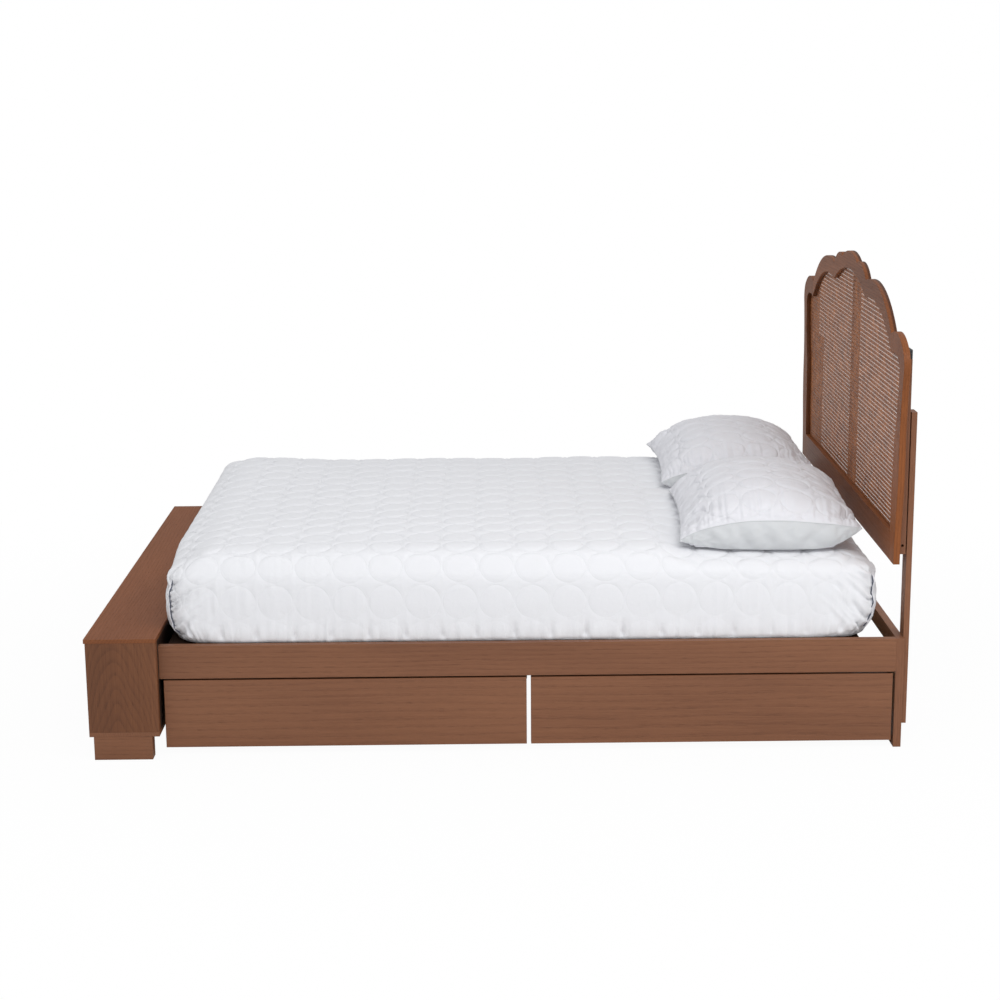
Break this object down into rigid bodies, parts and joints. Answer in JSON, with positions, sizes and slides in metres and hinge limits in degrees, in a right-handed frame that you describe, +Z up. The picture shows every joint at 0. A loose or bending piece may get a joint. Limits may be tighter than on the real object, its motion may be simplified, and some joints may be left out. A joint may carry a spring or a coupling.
{
  "type": "platform bed with storage drawers",
  "caption": "Platform bed with a shelf box across the foot, rolling drawers under the sides, a slatted base, a scalloped headboard with a woven cane panel, a mattress and pillows.",
  "frame": {"origin": "on the floor, under the middle of the bed's overall box", "axes": "+X from foot to head, +Y to the left seen from the foot, +Z up"},
  "size_m": [2.298, 1.692, 1.322],
  "materials": {
    "walnut_ash": "satin stained ash veneer",
    "drawer_box_wood": "clear lacquered plywood",
    "slat_wood": "planed unfinished pine",
    "cane": "woven cane webbing, toned brown",
    "steel": "zinc plated",
    "black_plastic": "matt",
    "caster_plastic": "matt moulded nylon",
    "mattress_fabric": "quilted white cover",
    "pillow_fabric": "quilted white cover, gathered"
  },
  "bodies": {
    "bed_frame": {"batten_caps": "black_plastic", "cane_bead": "walnut_ash", "cane_panel": "cane", "centre_beam": "slat_wood", "centre_legs": "slat_wood", "foot_box_back": "walnut_ash", "foot_box_dividers": "walnut_ash", "foot_box_end_left": "walnut_ash", "foot_box_end_right": "walnut_ash", "foot_box_feet": "walnut_ash", "foot_box_floor": "walnut_ash", "foot_box_top": "walnut_ash", "head_leg_left": "walnut_ash", "head_leg_right": "walnut_ash", "head_rail": "walnut_ash", "headboard_batten_left": "walnut_ash", "headboard_batten_right": "walnut_ash", "headboard_bolts": "steel", "headboard_bottom_rail": "walnut_ash", "headboard_centre_batten": "walnut_ash", "headboard_crest_rail": "walnut_ash", "headboard_post_left": "walnut_ash", "headboard_post_right": "walnut_ash", "headboard_stile_left": "walnut_ash", "headboard_stile_right": "walnut_ash", "post_spacers": "black_plastic", "rail_bracket_bolts": "steel", "rail_brackets": "steel", "side_rail_left": "walnut_ash", "side_rail_right": "walnut_ash", "slat_ledgers": "slat_wood", "slats": "slat_wood"},
    "drawer_left_foot": {"drawer_left_foot_bottom": "drawer_box_wood", "drawer_left_foot_caster_forks": "steel", "drawer_left_foot_front": "walnut_ash", "drawer_left_foot_sides": "drawer_box_wood"},
    "drawer_left_foot_front_wheels": {"drawer_left_foot_wheels_front": "caster_plastic"},
    "drawer_left_foot_rear_wheels": {"drawer_left_foot_wheels_rear": "caster_plastic"},
    "drawer_left_head": {"drawer_left_head_bottom": "drawer_box_wood", "drawer_left_head_caster_forks": "steel", "drawer_left_head_front": "walnut_ash", "drawer_left_head_sides": "drawer_box_wood"},
    "drawer_left_head_front_wheels": {"drawer_left_head_wheels_front": "caster_plastic"},
    "drawer_left_head_rear_wheels": {"drawer_left_head_wheels_rear": "caster_plastic"},
    "drawer_right_foot": {"drawer_right_foot_bottom": "drawer_box_wood", "drawer_right_foot_caster_forks": "steel", "drawer_right_foot_front": "walnut_ash", "drawer_right_foot_sides": "drawer_box_wood"},
    "drawer_right_foot_front_wheels": {"drawer_right_foot_wheels_front": "caster_plastic"},
    "drawer_right_foot_rear_wheels": {"drawer_right_foot_wheels_rear": "caster_plastic"},
    "drawer_right_head": {"drawer_right_head_bottom": "drawer_box_wood", "drawer_right_head_caster_forks": "steel", "drawer_right_head_front": "walnut_ash", "drawer_right_head_sides": "drawer_box_wood"},
    "drawer_right_head_front_wheels": {"drawer_right_head_wheels_front": "caster_plastic"},
    "drawer_right_head_rear_wheels": {"drawer_right_head_wheels_rear": "caster_plastic"},
    "mattress": {"mattress": "mattress_fabric"},
    "pillow_left": {"pillow_left": "pillow_fabric"},
    "pillow_right": {"pillow_right": "pillow_fabric"}
  },
  "joints": [
    {"name": "drawer_left_foot_slide", "type": "slide", "parent": "bed_frame", "child": "drawer_left_foot", "axis": [0, 1, 0], "range_m": [0, 0.55]},
    {"name": "drawer_left_foot_front_wheels_roll", "type": "hinge", "parent": "drawer_left_foot", "child": "drawer_left_foot_front_wheels", "pos_m": [-0.828, 0.672, 0.018], "axis": [1, 0, 0], "continuous": true},
    {"name": "drawer_left_foot_rear_wheels_roll", "type": "hinge", "parent": "drawer_left_foot", "child": "drawer_left_foot_rear_wheels", "pos_m": [-0.828, 0.213, 0.018], "axis": [1, 0, 0], "continuous": true},
    {"name": "drawer_left_head_slide", "type": "slide", "parent": "bed_frame", "child": "drawer_left_head", "axis": [0, 1, 0], "range_m": [0, 0.55]},
    {"name": "drawer_left_head_front_wheels_roll", "type": "hinge", "parent": "drawer_left_head", "child": "drawer_left_head_front_wheels", "pos_m": [0.199, 0.672, 0.018], "axis": [1, 0, 0], "continuous": true},
    {"name": "drawer_left_head_rear_wheels_roll", "type": "hinge", "parent": "drawer_left_head", "child": "drawer_left_head_rear_wheels", "pos_m": [0.199, 0.213, 0.018], "axis": [1, 0, 0], "continuous": true},
    {"name": "drawer_right_foot_slide", "type": "slide", "parent": "bed_frame", "child": "drawer_right_foot", "axis": [0, -1, 0], "range_m": [0, 0.55]},
    {"name": "drawer_right_foot_front_wheels_roll", "type": "hinge", "parent": "drawer_right_foot", "child": "drawer_right_foot_front_wheels", "pos_m": [-0.828, -0.672, 0.018], "axis": [1, 0, 0], "continuous": true},
    {"name": "drawer_right_foot_rear_wheels_roll", "type": "hinge", "parent": "drawer_right_foot", "child": "drawer_right_foot_rear_wheels", "pos_m": [-0.828, -0.213, 0.018], "axis": [1, 0, 0], "continuous": true},
    {"name": "drawer_right_head_slide", "type": "slide", "parent": "bed_frame", "child": "drawer_right_head", "axis": [0, -1, 0], "range_m": [0, 0.55]},
    {"name": "drawer_right_head_front_wheels_roll", "type": "hinge", "parent": "drawer_right_head", "child": "drawer_right_head_front_wheels", "pos_m": [0.199, -0.672, 0.018], "axis": [1, 0, 0], "continuous": true},
    {"name": "drawer_right_head_rear_wheels_roll", "type": "hinge", "parent": "drawer_right_head", "child": "drawer_right_head_rear_wheels", "pos_m": [0.199, -0.213, 0.018], "axis": [1, 0, 0], "continuous": true},
    {"name": "mattress_lift", "type": "slide", "parent": "bed_frame", "child": "mattress", "axis": [0, 0, 1], "range_m": [0, 0.35]},
    {"name": "pillow_left_lift", "type": "slide", "parent": "mattress", "child": "pillow_left", "axis": [0, 0, 1], "range_m": [0, 0.35]},
    {"name": "pillow_right_lift", "type": "slide", "parent": "mattress", "child": "pillow_right", "axis": [0, 0, 1], "range_m": [0, 0.35]}
  ],
  "couplings": [
    {"joint": "drawer_left_foot_front_wheels_roll", "follows": "drawer_left_foot_slide", "rad_per_m": -55.556},
    {"joint": "drawer_left_foot_rear_wheels_roll", "follows": "drawer_left_foot_slide", "rad_per_m": -55.556},
    {"joint": "drawer_left_head_front_wheels_roll", "follows": "drawer_left_head_slide", "rad_per_m": -55.556},
    {"joint": "drawer_left_head_rear_wheels_roll", "follows": "drawer_left_head_slide", "rad_per_m": -55.556},
    {"joint": "drawer_right_foot_front_wheels_roll", "follows": "drawer_right_foot_slide", "rad_per_m": 55.556},
    {"joint": "drawer_right_foot_rear_wheels_roll", "follows": "drawer_right_foot_slide", "rad_per_m": 55.556},
    {"joint": "drawer_right_head_front_wheels_roll", "follows": "drawer_right_head_slide", "rad_per_m": 55.556},
    {"joint": "drawer_right_head_rear_wheels_roll", "follows": "drawer_right_head_slide", "rad_per_m": 55.556}
  ]
}
